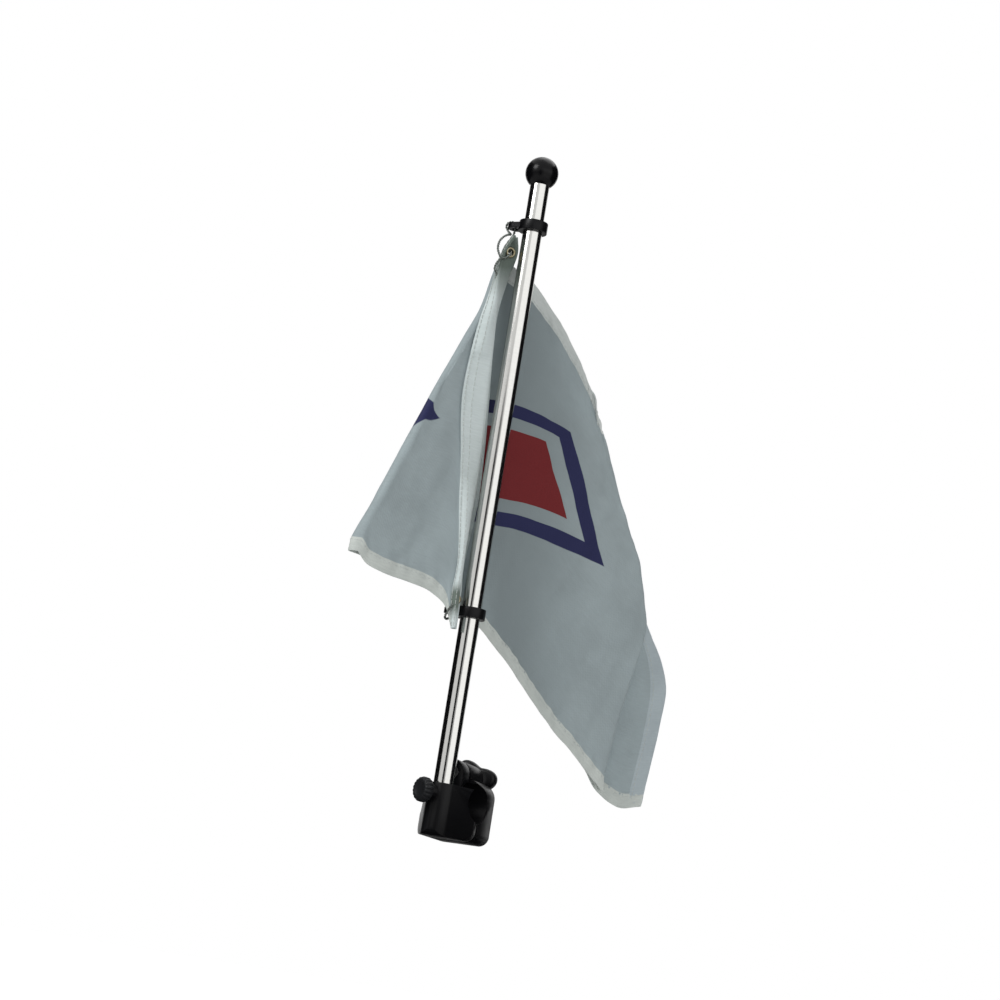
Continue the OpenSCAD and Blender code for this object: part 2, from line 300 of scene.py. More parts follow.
def stamped_brass():
    """Nickel-plated brass grommet, stamped and set in a press.
    The eye gets a warm grey metal, rubbed through to yellow in places."""
    material, tree = new_material("brass_nickel_plated_stamped")
    wear = speckle(tree, 2.5, 4, 0.6)
    return metal(material, blend(tree, wear, "#9A9A8C", "#8C7B4E"), spread(tree, wear, 0.22, 0.42))


def paper_floor():
    """Matt white paper sweep: the eye gets a plain pale ground with the softest shadow."""
    material, tree = new_material("white_paper_matt")
    place = node(tree, "TexCoord")
    fibre = node(tree, "TexNoise", {"Scale": 30, "Detail": 3}, {"Vector": place.outputs["Object"]})
    paper = node(tree, "BsdfPrincipled", {"Roughness": 0.9, "IOR": 1.5, "Specular IOR Level": 0.1},
                 {"Base Color": blend(tree, fibre.outputs["Fac"], "#E8E8E8", "#E4E4E4")})
    # lifted towards white for the lens alone, so its shadow stays; it is fully white well away from
    # the shadow, where the lamps no longer reach
    path = node(tree, "LightPath")
    away = node(tree, "VectorMath", links={0: place.outputs["Object"]}, operation="LENGTH")
    glow = node(tree, "MapRange", {"From Min": GLOW_START, "From Max": GLOW_END, "To Min": GLOW_LEAST,
                                   "To Max": 1},
                {"Value": away.outputs["Value"]}, interpolation_type="SMOOTHSTEP")
    lift = node(tree, "Math", links={0: path.outputs["Is Camera Ray"], 1: glow.outputs[0]},
                operation="MULTIPLY")
    white = node(tree, "Emission", {"Color": (1, 1, 1, 1)}, {"Strength": lift.outputs[0]})
    lit = node(tree, "AddShader", links={0: paper.outputs[0], 1: white.outputs[0]})
    return finish(material, lit)


def black_flock():
    """Black flocked card, hung around the set: the steel gets its dark edges from it."""
    material, tree = new_material("black_flocked_card")
    flock = node(tree, "BsdfPrincipled", {"Roughness": 1, "IOR": 1.5, "Specular IOR Level": 0},
                 {"Base Color": blend(tree, speckle(tree, 25, 2), "#1E1E20", "#141416")})
    return finish(material, flock)


steel_tube = polished_steel()
steel_fastener = turned_steel()
nylon_satin = moulded_nylon("nylon_66_moulded_satin", "#0A0A0C", "#1D1E21", 0.36, 0.35)
# the lock knob is the same black nylon: its lighter grey is painted light, for the sheen on its rounded face
nylon_knob = moulded_nylon("nylon_66_moulded_painted_light", "#1C1D1F", "#33353A", 0.42, 0.35)
nylon_gloss = moulded_nylon("nylon_66_moulded_gloss", "#08080A", "#17181B", 0.24, 0.08)
# 210 denier nylon has threads 0.25 mm apart, drawn at 1.3 mm so that the weave shows
# the flag is white nylon: the grey-blue tone given to its cloth here is painted shade
nylon_cloth = woven_cloth("nylon_plain_weave_printed", "#B3C0C3", "#A6B2B5", 1.3, 0.62, 0.22, 0.15,
                          printed=True)
nylon_hem = woven_cloth("nylon_plain_weave_hem", "#D4DAD5", "#BFC6C2", 1.3, 0.66, 0.08, 0.2)
# the top hem is the same nylon as the other hems: its lighter tone is painted light, for the light that falls
# on it from the top and rear
nylon_top = woven_cloth("nylon_plain_weave_hem_painted_light", "#E2E7E5", "#CBD2CF", 1.3, 0.66, 0.12, 0.25)
nylon_fly = woven_cloth("nylon_plain_weave_fly_hem", "#BFCBCF", "#B2BEC3", 1.3, 0.62, 0.14, 0.15)
# 8 ounce duck has threads 0.6 mm apart, drawn at 1.6 mm
# the canvas has painted shade round its grommets
canvas = woven_cloth("cotton_duck_canvas", "#DBE5E5", "#C9D4D3", 1.6, 0.8, 0.05, 0.25, shaded_at_grommets=True)
thread = spun_thread()
tie_wire = twisted_wire()
grommet_brass = stamped_brass()


# ----------------------------------------
# Making pieces
# ----------------------------------------
def piece(name, mesh, material, body, slot, stands_for=(), smooth=True):
    """A finished piece: its mesh, its material, the body that it rides on and what it replaces."""
    made = bpy.data.objects.new(name, mesh)
    bpy.context.scene.collection.objects.link(made)
    mesh.materials.clear()
    mesh.materials.append(material)
    for face in mesh.polygons:
        face.use_smooth = smooth
    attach(made, body)
    if stands_for:
        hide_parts(*stands_for)
    return made


def mesh_of(name, points, faces):
    """A mesh from points in millimetres."""
    mesh = bpy.data.meshes.new(name)
    mesh.from_pydata([tuple(MM * c for c in p) for p in points], [], faces)
    mesh.validate()
    return mesh


def joined(name, parts):
    """One mesh from many lists of (points, faces)."""
    points, faces = [], []
    for some_points, some_faces in parts:
        start = len(points)
        points.extend(some_points)
        faces.extend([tuple(start + i for i in face) for face in some_faces])
    return mesh_of(name, points, faces)


def solid(name, shapes, *rest, **settings):
    """A piece whose mesh joins many lists of (points, faces)."""
    return piece(name, joined(name, shapes), *rest, **settings)


def tube_along(line, radius, sides):
    """Points and faces of a round bar that follows a line."""
    line = [Vector(p) for p in line]
    count = len(line)
    points, faces = [], []
    side = None
    for i, at in enumerate(line):
        way = (line[min(i + 1, count - 1)] - line[max(i - 1, 0)]).normalized()
        if side is None:
            side = way.orthogonal().normalized()
        side = (side - way * side.dot(way)).normalized()
        other = way.cross(side)
        for k in range(sides):
            turn = 2 * math.pi * k / sides
            points.append(at + (side * math.cos(turn) + other * math.sin(turn)) * radius)
    for a in range(0, (count - 1) * sides, sides):
        for k in range(sides):
            faces.append((a + k, a + (k + 1) % sides, a + sides + (k + 1) % sides, a + sides + k))
    faces.append(tuple(reversed(range(sides))))
    faces.append(tuple(range((count - 1) * sides, count * sides)))
    return points, faces


def turned(profile, steps, place, closed=True):
    """Points and faces of a profile of (radius, height) turned about a placed axis. A radius may be a
    function of the turn. A profile that isn't closed on itself starts and ends on the axis."""
    ring = profile if closed else profile[1:-1]
    count = len(ring)
    points = []
    for i in range(steps):
        turn = 2 * math.pi * i / steps
        for radius, height in ring:
            r = radius(turn) if callable(radius) else radius
            points.append(place @ Vector((r * math.cos(turn), r * math.sin(turn), height)))
    faces = []
    for i in range(steps):
        a, b = i * count, (i + 1) % steps * count
        for k in range(count if closed else count - 1):
            faces.append((a + k, b + k, b + (k + 1) % count, a + (k + 1) % count))
    if not closed:
        points += [place @ Vector((0, 0, profile[0][1])), place @ Vector((0, 0, profile[-1][1]))]
        for i in range(steps):
            a, b = i * count, (i + 1) % steps * count
            faces.append((len(points) - 2, b, a))
            faces.append((len(points) - 1, a + count - 1, b + count - 1))
    return points, faces


def quarter(radius, height, size, start, steps=5):
    """A rounded corner of a profile: quarter circle of this size, from start degrees, about its centre."""
    corner = []
    for i in range(steps + 1):
        turn = math.radians(start + 90 * i / steps)
        corner.append((radius + size * math.cos(turn), height + size * math.sin(turn)))
    return corner


def threaded_rod(radius, low, high, pitch, place):
    """Points and faces of a rod with a rolled thread and chamfered ends."""
    def crest(height):
        def at(turn):
            share = (height / pitch - turn / (2 * math.pi)) % 1
            groove = 0.55 * pitch * max(0, 1.5 * abs(2 * share - 1) - 0.3) / 1.2
            edge = min(height - low, high - height, 1)
            return radius - groove - 0.35 * (1 - edge)
        return at
    count = int((high - low) / pitch * 7)
    heights = [low + (high - low) * i / count for i in range(count + 1)]
    rings = [(crest(height), height) for height in heights]
    return turned([(0, low), *rings, (0, high)], 28, place, closed=False)


def twisted_pair(line, radius, pitch):
    """Two wires twisted round each other along a line."""
    length = sum((Vector(b) - Vector(a)).length for a, b in zip(line, line[1:]))
    count = int(length / pitch * 10)
    middle = smooth_line(line, count)
    sides = []
    side = None
    for i in range(count):
        way = Vector(middle[min(i + 1, count - 1)] - middle[max(i - 1, 0)]).normalized()
        side = (side or way.orthogonal()).normalized()
        side = (side - way * side.dot(way)).normalized()
        sides.append((side.copy(), way.cross(side)))
    strands = []
    for start in (0, math.pi):
        strand = []
        for i, (side, other) in enumerate(sides):
            turn = start + 2 * math.pi * i / 10
            strand.append(Vector(middle[i]) + (side * math.cos(turn) + other * math.sin(turn)) * radius)
        strands.append(tube_along(strand, radius, 7))
    return strands


def rounded_copy(name, source, material, body, slot, radius, keep_angle=24):
    """A CAD moulding with its sharp edges rounded, in place of the CAD one."""
    mesh = bpy.data.meshes.new(name)
    shape = bmesh.new()
    shape.from_mesh(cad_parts[source].data)
    bmesh.ops.remove_doubles(shape, verts=shape.verts, dist=0.002 * MM)
    bmesh.ops.dissolve_limit(shape, angle_limit=math.radians(1.5), verts=shape.verts, edges=shape.edges)
    shape.to_mesh(mesh)
    shape.free()
    made = piece(name, mesh, material, body, slot, [source])
    bevel = made.modifiers.new("moulded_edges", "BEVEL")
    bevel.width = radius * MM
    bevel.segments = 3
    bevel.limit_method = "ANGLE"
    bevel.angle_limit = math.radians(keep_angle)
    bevel.harden_normals = True
    bevel.use_clamp_overlap = True
    return made


def repaint(name, material):
    """Gives a CAD node that keeps its shape its finish."""
    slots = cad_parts[name].material_slots
    for i in range(len(slots)):
        slots[i].material = material
    if not slots:
        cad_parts[name].data.materials.append(material)


def extent(name, axis):
    """Where a CAD node's box starts and ends along an axis, in millimetres."""
    node_low, node_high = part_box(name)
    return node_low[axis] / MM, node_high[axis] / MM


def half_size(name, axis):
    """Half of a CAD node's size along an axis, in millimetres."""
    start, end = extent(name, axis)
    return (end - start) / 2


# pole and ball
repaint("pole_tube", steel_tube)
repaint("ball_finial", nylon_gloss)

# clamp
rounded_copy("clamp_body_moulding", "clamp_body", nylon_satin, "clamp", "black_nylon", 1.6)
rounded_copy("clamp_jaw_moulding", "clamp_jaw", nylon_satin, "jaw", "black_nylon", 1.6)

# The clamp screw's pieces turn about an axis along Y. Local heights on it run forwards.
CLAMP_PITCH = 1
SCREW_PLAY = 0.1
screw_rear, screw_front = sorted(-y for y in extent("clamp_screw", 1))
screw_radius = half_size("clamp_screw", 0)
on_screw = (Matrix.Translation((0, 0, sum(extent("clamp_screw", 2)) / 2))
            @ Matrix.Rotation(math.pi / 2, 4, "X"))
solid("clamp_screw_thread", [threaded_rod(screw_radius, screw_rear, screw_front, CLAMP_PITCH, on_screw)],
      steel_fastener, "knob", "stainless_fastener", ["clamp_screw"])

washer_back, washer_front = sorted(-y for y in extent("clamp_washer", 1))
washer_radius = half_size("clamp_washer", 0)
bore = screw_radius + SCREW_PLAY
solid("clamp_washer_pressed", [turned(
    [(bore, washer_back + 0.2), (screw_radius + 0.3, washer_back), (washer_radius - 0.3, washer_back),
     (washer_radius, washer_back + 0.25), (washer_radius, washer_front - 0.15),
     (washer_radius - 0.15, washer_front), (screw_radius + 0.3, washer_front), (bore, washer_front - 0.2)],
    64, on_screw)], steel_fastener, "knob", "stainless_fastener", ["clamp_washer"])

nut_back, nut_front = sorted(-y for y in extent("clamp_nut", 1))
nut_flat = half_size("clamp_nut", 2)


def hexagon(limit):
    """The radius of the nut at each turn, cut off at a limit by its chamfer."""
    return lambda turn: min(limit, nut_flat / math.cos((turn % (math.pi / 3)) - math.pi / 6))


# the nut's chamfer, as (share of the flats, depth)
chamfer = [(hexagon(nut_flat * share), depth) for share, depth in ((0.97, 0), (1.08, 0.35), (1.2, 0.8))]
solid("clamp_nut_chamfered", [turned(
    [(bore, nut_back + 0.4), (screw_radius + 0.5, nut_back),
     *((radius, nut_back + depth) for radius, depth in chamfer),
     *((radius, nut_front - depth) for radius, depth in reversed(chamfer)),
     (screw_radius + 0.5, nut_front), (bore, nut_front - 0.4)],
    96, on_screw)], steel_fastener, "clamp", "stainless_fastener", ["clamp_nut"], smooth=False)

# The hand knob: three lobes that swell out from a hub, with well rounded rims and a dished face
KNOB_MIDDLE_RADIUS = 12.2
KNOB_SWING = 2.8
KNOB_TURN = math.radians(12)
KNOB_HUB = 1.8
KNOB_ROUNDING = 2.8


def lobes(inset):
    """The knob's outline, drawn in by an inset."""
    return lambda turn: KNOB_MIDDLE_RADIUS + KNOB_SWING * math.cos(3 * (turn - KNOB_TURN)) - inset


knob_rear, knob_front = sorted(-y for y in extent("clamp_knob", 1))
lobe_front = knob_front - KNOB_HUB
front_rim, rear_rim = [], []
for inset, height in quarter(0, 0, KNOB_ROUNDING, 0, 7):
    rear_rim.append((lobes(KNOB_ROUNDING - inset), knob_rear + KNOB_ROUNDING - height))
    front_rim.append((lobes(KNOB_ROUNDING - inset), lobe_front - KNOB_ROUNDING + height))
screw_hole = screw_radius + 0.06
hole_end = screw_rear - 0.05
solid("clamp_knob_moulding", [turned(
    [(0, knob_rear + 0.9), (5.2, knob_rear + 0.9), (5.8, knob_rear + 0.5), (6.1, knob_rear + 0.05),
     *rear_rim[::-1], *front_rim, (6.4, lobe_front + 0.1), (6.3, knob_front - 0.3), (6.0, knob_front),
     (screw_radius + 0.35, knob_front), (screw_hole, knob_front - 0.3), (screw_hole, hole_end),
     (0, hole_end)],
    144, on_screw, closed=False)], nylon_satin, "knob", "black_nylon", ["clamp_knob"])

# The lock screw and its small round knob, with a scalloped rim for the fingers
on_lock = (Matrix.Translation((0, POLE_BACK, LOCK_HEIGHT)) @ Matrix.Rotation(LOCK_TURN, 4, "Z")
           @ Matrix.Rotation(math.pi / 2, 4, "Y"))
LOCK_RADIUS = 2.5
LOCK_PITCH = 0.8
LOCK_KNOB_RADIUS = 7.9
LOCK_KNOB_START = 12
LOCK_KNOB_THICKNESS = 6.4
LOCK_SCREW_END = 15
LOCK_SCALLOPS = 18
solid("lock_screw_thread", [
    threaded_rod(LOCK_RADIUS, POLE_RADIUS + 0.2, LOCK_SCREW_END, LOCK_PITCH, on_lock)],
    steel_fastener, "lock_pin", "stainless_fastener", ["lock_screw"])


def scallops(radius, depth):
    """A rim with shallow hollows for the fingers."""
    return lambda turn: radius - depth * (0.5 - 0.5 * math.cos(LOCK_SCALLOPS * turn)) ** 2


lock_end = LOCK_KNOB_START + LOCK_KNOB_THICKNESS
lock_corners = (quarter(LOCK_KNOB_RADIUS - 2, LOCK_KNOB_START + 2, 2, -90)
                + quarter(LOCK_KNOB_RADIUS - 2.6, lock_end - 2.6, 2.6, 0))
lock_rim = [(scallops(r, 0.5 * min(1, (r - 5) / 2)), height) for r, height in lock_corners]
lock_hole = LOCK_RADIUS + 0.05
solid("lock_knob_moulding", [turned(
    [(0, LOCK_SCREW_END + 0.05), (lock_hole, LOCK_SCREW_END + 0.05), (lock_hole, LOCK_KNOB_START + 0.25),
     (LOCK_RADIUS + 0.3, LOCK_KNOB_START), *lock_rim, (4.6, lock_end - 0.05), (4.2, lock_end - 0.4),
     (0, lock_end - 0.55)],
    144, on_lock, closed=False)], nylon_knob, "lock_hand_knob", "black_nylon", ["lock_knob"])

# clips
for clip in ("upper_clip", "lower_clip"):
    rounded_copy(clip + "_moulding", clip, nylon_satin, "flag", "black_nylon", 1.3)


# ----------------------------------------
# Flag. Its points are (along, back, up) in millimetres from the pole's axis: along the way that
# it trails, to the rear of that, and up from the rail.
# ----------------------------------------
def from_pole(points):
    """Flag points in the frame of the rail clamp."""
    along, back, up = np.moveaxis(np.asarray(points, float), -1, 0)
    cos, sin = math.cos(FLAG_TURN), math.sin(FLAG_TURN)
    return np.stack([along * cos - back * sin, POLE_BACK + along * sin + back * cos, up], axis=-1)


def smooth_line(points, count):
    """count points, evenly spaced, on a smooth curve through the given ones."""
    p = np.asarray(points, float)
    reach = np.concatenate([[0], np.cumsum(np.sqrt(np.linalg.norm(np.diff(p, axis=0), axis=1)))])
    slope = np.zeros_like(p)
    step = np.diff(reach)[:, None]
    secant = np.diff(p, axis=0) / step
    slope[1:-1] = (secant[:-1] * step[1:] + secant[1:] * step[:-1]) / (step[1:] + step[:-1])
    slope[0], slope[-1] = secant[0], secant[-1]
    fine = np.linspace(0, reach[-1], 40 * len(p))
    i = np.clip(np.searchsorted(reach, fine, side="right") - 1, 0, len(p) - 2)
    h = step[i]
    t = ((fine - reach[i])[:, None]) / h
    curve = ((2 * t**3 - 3 * t**2 + 1) * p[i] + (t**3 - 2 * t**2 + t) * h * slope[i]
             + (3 * t**2 - 2 * t**3) * p[i + 1] + (t**3 - t**2) * h * slope[i + 1])
    run = np.concatenate([[0], np.cumsum(np.linalg.norm(np.diff(curve, axis=0), axis=1))])
    even = np.linspace(0, run[-1], count)
    return np.stack([np.interp(even, run, curve[:, k]) for k in range(3)], axis=1)


ROWS = 136

# Lines up the cloth, from the bottom hem to the top hem
free_edge = smooth_line([(-10.5, -2, 104), (-10, -0.5, 123), (-6, 8.8, 148), (-3, 9.3, 187), (-4, 9.2, 215),
                         (-6.5, 10, 254), (-9.6, 10.6, 290), (-10.4, 10.4, 312), (-8.5, 8, 335),
                         (-7.5, 2.6, 353), (-9.5, 2.5, 363)], ROWS)
bend = smooth_line([(-12, -2.3, 104), (-11.5, -1, 123), (-8.5, 6, 148), (-7, 7, 187), (-7.5, 6.5, 215),
                    (-11.6, 3.5, 254), (-15, 2.6, 300), (-16.8, 2.6, 319), (-18.4, 3.2, 338), (-16.8, 3.2, 350),
                    (-11.2, 2.8, 363)], ROWS)
seam = smooth_line([(-14, -2.5, 104), (-16.5, -1, 123), (-13.8, 3, 148), (-19.5, 4, 187), (-24, 4, 215),
                    (-29.5, 4.5, 254), (-26, 4.5, 300), (-22.3, 4.5, 319), (-17, 4, 353),
                    (-12.5, 3, 363)], ROWS)
left_fold_front = smooth_line([(-84, 4.8, 138), (-82.2, 4.6, 148), (-74.5, 4.5, 167), (-62.3, 4.5, 202),
                               (-50.4, 4.6, 236), (-40.9, 4.8, 263), (-29, 5, 291), (-20, 5.4, 313.5),
                               (-16.6, 5.8, 332.7), (-14.8, 5.8, 345), (-12.8, 5.2, 357)], ROWS)
left_fold_rear = smooth_line([(-84, 12.2, 138), (-82.2, 12.4, 148), (-74.5, 12.6, 167), (-62.3, 12.8, 202),
                              (-50.4, 12.9, 236), (-40.9, 13, 263), (-29, 13, 291), (-20, 12.8, 313.5),
                              (-16.2, 12.4, 332.7), (-14, 11.4, 345), (-11.4, 10, 355)], ROWS)
right_fold_front = smooth_line([(125.4, 11.8, 26), (125, 12, 43.7), (128.8, 12.5, 70), (134.4, 13, 94.7),
                                (141.7, 13, 135.9), (135.7, 13, 155.6), (127, 13, 180.9), (114.9, 13, 202),
                                (102.9, 13, 223), (91.7, 13, 244), (78.5, 13, 268)], ROWS)
right_fold_rear = right_fold_front + [0, 4.4, 0]
inner_fold_front = smooth_line([(94, 17, 57), (90.5, 17.2, 74), (90.5, 17.4, 97), (91.5, 17.4, 120),
                                (89.5, 17.4, 145), (84, 17.4, 170), (75, 17.4, 195), (64, 17.4, 220),
                                (53, 17.4, 243), (46, 17.4, 262)], ROWS)
inner_fold_rear = inner_fold_front + [0, 4.2, 0.5]
fly_edge = smooth_line([(163, 19, 22), (166.5, 19, 50), (169, 19, 74), (170, 19, 103), (163, 19, 120),
                        (149, 19, 137), (139, 19.5, 152), (128, 20, 172), (115, 20, 195), (103, 20, 217),
                        (92, 20, 237), (84, 20, 252)], ROWS)


def panel(near, far, columns, bottom=(), top=()):
    """The cloth between two lines, with its bottom and top hems through the given points."""
    low = smooth_line([near[0], *bottom, far[0]], columns)
    high = smooth_line([near[-1], *top, far[-1]], columns)
    u = np.linspace(0, 1, columns)[:, None, None]
    v = np.linspace(0, 1, len(near))[None, :, None]
    return ((1 - v) * low[:, None] + v * high[:, None] + (1 - u) * near[None] + u * far[None]
            - (1 - u) * (1 - v) * near[0] - u * (1 - v) * far[0] - (1 - u) * v * near[-1] - u * v * far[-1])


def turn_back(near, far, columns, way):
    """The half turn of a fold, from one line to the next, standing out along the way given."""
    middle = (near + far) / 2
    out = np.array(way) * np.linalg.norm(far - near, axis=1)[:, None] / 2
    turns = np.linspace(0, math.pi, columns)
    return np.array([middle + (near - middle) * math.cos(t) + out * math.sin(t) for t in turns])


def bowed(near, far, columns, width, way):
    """A strip of constant width between two lines, bowed out along the way given where they come closer."""
    chord = np.linalg.norm(far - near, axis=1)
    bow = chord * np.sqrt(0.375 * np.maximum(width / chord - 1, 0))
    u = np.linspace(0, 1, columns)
    return np.array([near + (far - near) * k + np.array(way) * (4 * k * (1 - k) * bow)[:, None] for k in u])


side_part = bowed(free_edge, bend, 8, HEADING_SIDE, (-0.3, 0.9, 0))
heading_part = np.concatenate([side_part, bowed(bend, seam, 11, HEADING_FACE, (-0.2, -1, 0))[1:]])
front_part = panel(seam, left_fold_front, 44,
                   bottom=[(-19.2, 1, 118), (-29.6, 3, 124.5), (-46, 4, 127.2), (-67, 4.5, 129.2),
                           (-77, 4.7, 132)])
left_turn = turn_back(left_fold_front, left_fold_rear, 11, (-1, 0, 0))
back_part = panel(left_fold_rear, right_fold_front, 120,
                  bottom=[(-60, 13, 136.5), (-40, 13, 134), (-20, 13, 127), (0, 13, 118), (13.5, 13, 112.2),
                          (32.8, 13, 98.7), (69.5, 12.5, 68.2), (101.6, 12, 43.6)],
                  top=[(-6.3, 12.5, 348.7), (16.7, 13.5, 339.7), (34.3, 14, 326.3), (52.8, 14, 308.8),
                       (68.6, 13.5, 289)])
right_turn = turn_back(right_fold_front, right_fold_rear, 9, (1, 0, 0))
return_part = panel(right_fold_rear, inner_fold_front, 22, bottom=[(113, 17, 41)], top=[(66, 17.4, 266)])
inner_turn = turn_back(inner_fold_front, inner_fold_rear, 9, (-1, 0, 0))
fly_part = panel(inner_fold_rear, fly_edge, 38, top=[(68, 21, 258)],
                 bottom=[(115, 21, 39), (127.8, 20.5, 26), (145, 19.5, 18.5)])

parts = [heading_part, front_part, left_turn, back_part, right_turn, return_part, inner_turn, fly_part]
cloth = np.concatenate([parts[0]] + [part[1:] for part in parts[1:]])
columns = len(cloth)
seam_column = len(heading_part) - 1

# flat place of every point, in millimetres from the bottom of the heading
steps = np.linalg.norm(np.diff(cloth, axis=0), axis=2)
flat_along = np.concatenate([np.zeros((1, ROWS)), np.cumsum(steps, axis=0)])
flat_up = np.broadcast_to(np.linspace(0, FLAG_HEIGHT, ROWS)[None], flat_along.shape)


def normals_of(grid):
    """Unit normals of a grid of points, to the front of the first panel."""
    n = np.cross(np.gradient(grid, axis=0), np.gradient(grid, axis=1))
    return n / np.maximum(np.linalg.norm(n, axis=2, keepdims=True), 1e-9)


def ripple(along, up):
    """Height of the cloth's folds, creases and slack at a flat place, in millimetres."""
    slack = 2.6 * noise.noise(Vector((along / 60, up / 110, 1.3)))
    drape = 1.5 * noise.noise(Vector((along / 22 + up / 60, up / 120, 4.1)))
    creases = 0.7 * noise.noise(Vector((along / 9 + up / 30, up / 24, 7.7)))
    fine = 0.14 * noise.noise(Vector((along / 4 + up / 16, up / 9, 2.9)))
    edge = min(up, FLAG_HEIGHT - up)
    tight = math.exp(-((edge - HEM_WIDTH) / 6) ** 2)
    pucker = 0.5 * tight * math.sin(along / 1.7 + 2.5 * noise.noise(Vector((along / 14, up, 9.2))))
    return slack + drape + creases + fine + pucker


heights = np.array([[ripple(flat_along[i, j], flat_up[i, j]) for j in range(ROWS)] for i in range(columns)])
# the cloth lies still where it is sewn to the heading, and is free this far from the seam
CALM_REACH = 25
calm = np.clip((flat_along - flat_along[seam_column]) / CALM_REACH, 0, 1)
cloth = cloth + normals_of(cloth) * (heights * calm)[..., None]
cloth_normals = normals_of(cloth)


def grid_mesh(name, grid, flat_u, flat_v):
    """A mesh of quads over a grid of flag points, with the cloth's flat place in its UV map."""
    wide, tall = grid.shape[:2]
    points = from_pole(grid).reshape(-1, 3)
    faces = [(i * tall + j, (i + 1) * tall + j, (i + 1) * tall + j + 1, i * tall + j + 1)
             for i in range(wide - 1) for j in range(tall - 1)]
    mesh = mesh_of(name, points, faces)
    flat = mesh.uv_layers.new(name="flat_millimetres")
    u, v = np.asarray(flat_u).reshape(-1), np.asarray(flat_v).reshape(-1)
    index = np.zeros(len(mesh.loops), np.int32)
    mesh.loops.foreach_get("vertex_index", index)
    flat.data.foreach_set("uv", np.stack([u[index], v[index]], axis=1).astype(np.float32).reshape(-1) * MM)
    return mesh


flag_cloth = piece("flag_cloth", grid_mesh("flag_cloth", cloth, flat_along, flat_up), nylon_cloth, "flag",
                   "flag_nylon", ["flag_front_fold", "flag_back_panel", "flag_fly_fold"])
thick = flag_cloth.modifiers.new("cloth_thickness", "SOLIDIFY")
thick.thickness = CLOTH_THICKNESS * MM
thick.offset = 0


# Half thickness of a hem and of the heading, with the cloth between their layers
HEM_LIFT = 0.45
FLY_LIFT = 0.35
HEADING_LIFT = 0.75


def folded_edge(name, cut, lift, material, slot, stands_for=()):
    """Cloth turned over an edge: a band on the front, round the edge and down the rear. cut takes
    its part of a grid of the cloth: first rows on the edge, last rows where the band is sewn down."""
    grid, normals, flat_u, flat_v = (cut(whole) for whole in (cloth, cloth_normals, flat_along, flat_up))
    height = lift * np.minimum(1, np.linspace(2.2, 0.55, len(grid)))[:, None, None]
    front, rear = grid + normals * height, grid - normals * height
    out = grid[0] - grid[1]
    out /= np.linalg.norm(out, axis=1, keepdims=True)
    turns = np.linspace(0, math.pi, 7)[1:-1]
    rounding = [grid[0] + normals[0] * lift * math.cos(t) + out * lift * math.sin(t) for t in turns]
    wrapped = np.concatenate([front[::-1], np.array(rounding), rear])
    u, v = (np.concatenate([flat[::-1], np.repeat(flat[:1], len(turns), axis=0), flat])
            for flat in (flat_u, flat_v))
    return piece(name, grid_mesh(name, wrapped, u, v), material, "flag", slot, stands_for)


# the hems run aslant across the rows, so each takes in more rows than its width
hem_rows = round(1.2 * HEM_WIDTH / FLAG_HEIGHT * (ROWS - 1)) + 1
top_rows = round(1.75 * HEM_WIDTH / FLAG_HEIGHT * (ROWS - 1)) + 1
fly_columns = int(np.argmax(flat_along[-1, 60] - flat_along[::-1, 60] > HEM_WIDTH)) + 1
from_seam = slice(seam_column, None)
bottom_hem = folded_edge("bottom_hem", lambda whole: np.swapaxes(whole[from_seam, :hem_rows], 0, 1),
                         HEM_LIFT, nylon_hem, "flag_nylon")
top_hem = folded_edge("top_hem", lambda whole: np.swapaxes(whole[from_seam, -top_rows:], 0, 1)[::-1],
                      HEM_LIFT, nylon_top, "flag_nylon")
fly_hem = folded_edge("fly_hem", lambda whole: whole[-fly_columns:][::-1], FLY_LIFT, nylon_fly, "flag_nylon")
heading = folded_edge("heading_canvas", lambda whole: whole[:seam_column + 1], HEADING_LIFT, canvas,
                      "heading_canvas", ["flag_heading"])

# The heading's grommets, and the holes that they line
on_flag = Matrix.Translation((0, POLE_BACK, 0)) @ Matrix.Rotation(FLAG_TURN, 4, "Z")
GROMMET_RADIUS = 3.6
GROMMET_BORE = 1.9
GROMMET_REACH = 1.4
CLOTH_HOLE = 2.6
HEADING_HOLE = 2.9
UPPER_GROMMET = (-12.2, 3.2, 352)
LOWER_GROMMET = (-13.2, -0.8, 122.5)


def pierce(made, place, radius):
    """Cuts the faces away round a flag point."""
    shape = bmesh.new()
    shape.from_mesh(made.data)
    centre = (on_flag @ Vector(place)) * MM
    gone = [face for face in shape.faces if (face.calc_center_median() - centre).length < radius * MM]
    bmesh.ops.delete(shape, geom=gone, context="FACES")
    shape.to_mesh(made.data)
    shape.free()


for name, place in (("upper_grommet", UPPER_GROMMET), ("lower_grommet", LOWER_GROMMET)):
    pierce(flag_cloth, place, CLOTH_HOLE)
    pierce(heading, place, HEADING_HOLE)
    half = [(GROMMET_BORE, 0.6), (GROMMET_BORE + 0.15, 1.1), (GROMMET_BORE + 0.5, GROMMET_REACH),
            (GROMMET_RADIUS - 0.6, GROMMET_REACH - 0.1), (GROMMET_RADIUS - 0.1, GROMMET_REACH - 0.35),
            (GROMMET_RADIUS, GROMMET_REACH - 0.65), (GROMMET_RADIUS - 0.2, GROMMET_REACH - 0.75),
            (GROMMET_BORE + 0.55, 0.55)]
    profile = half + [(r, -h) for r, h in reversed(half)]
    shape = turned(profile, 48, on_flag @ Matrix.Translation(place) @ Matrix.Rotation(math.pi / 2, 4, "X"))
    solid(name + "_stamped", [shape], grommet_brass, "flag", "grommet_brass", [name])

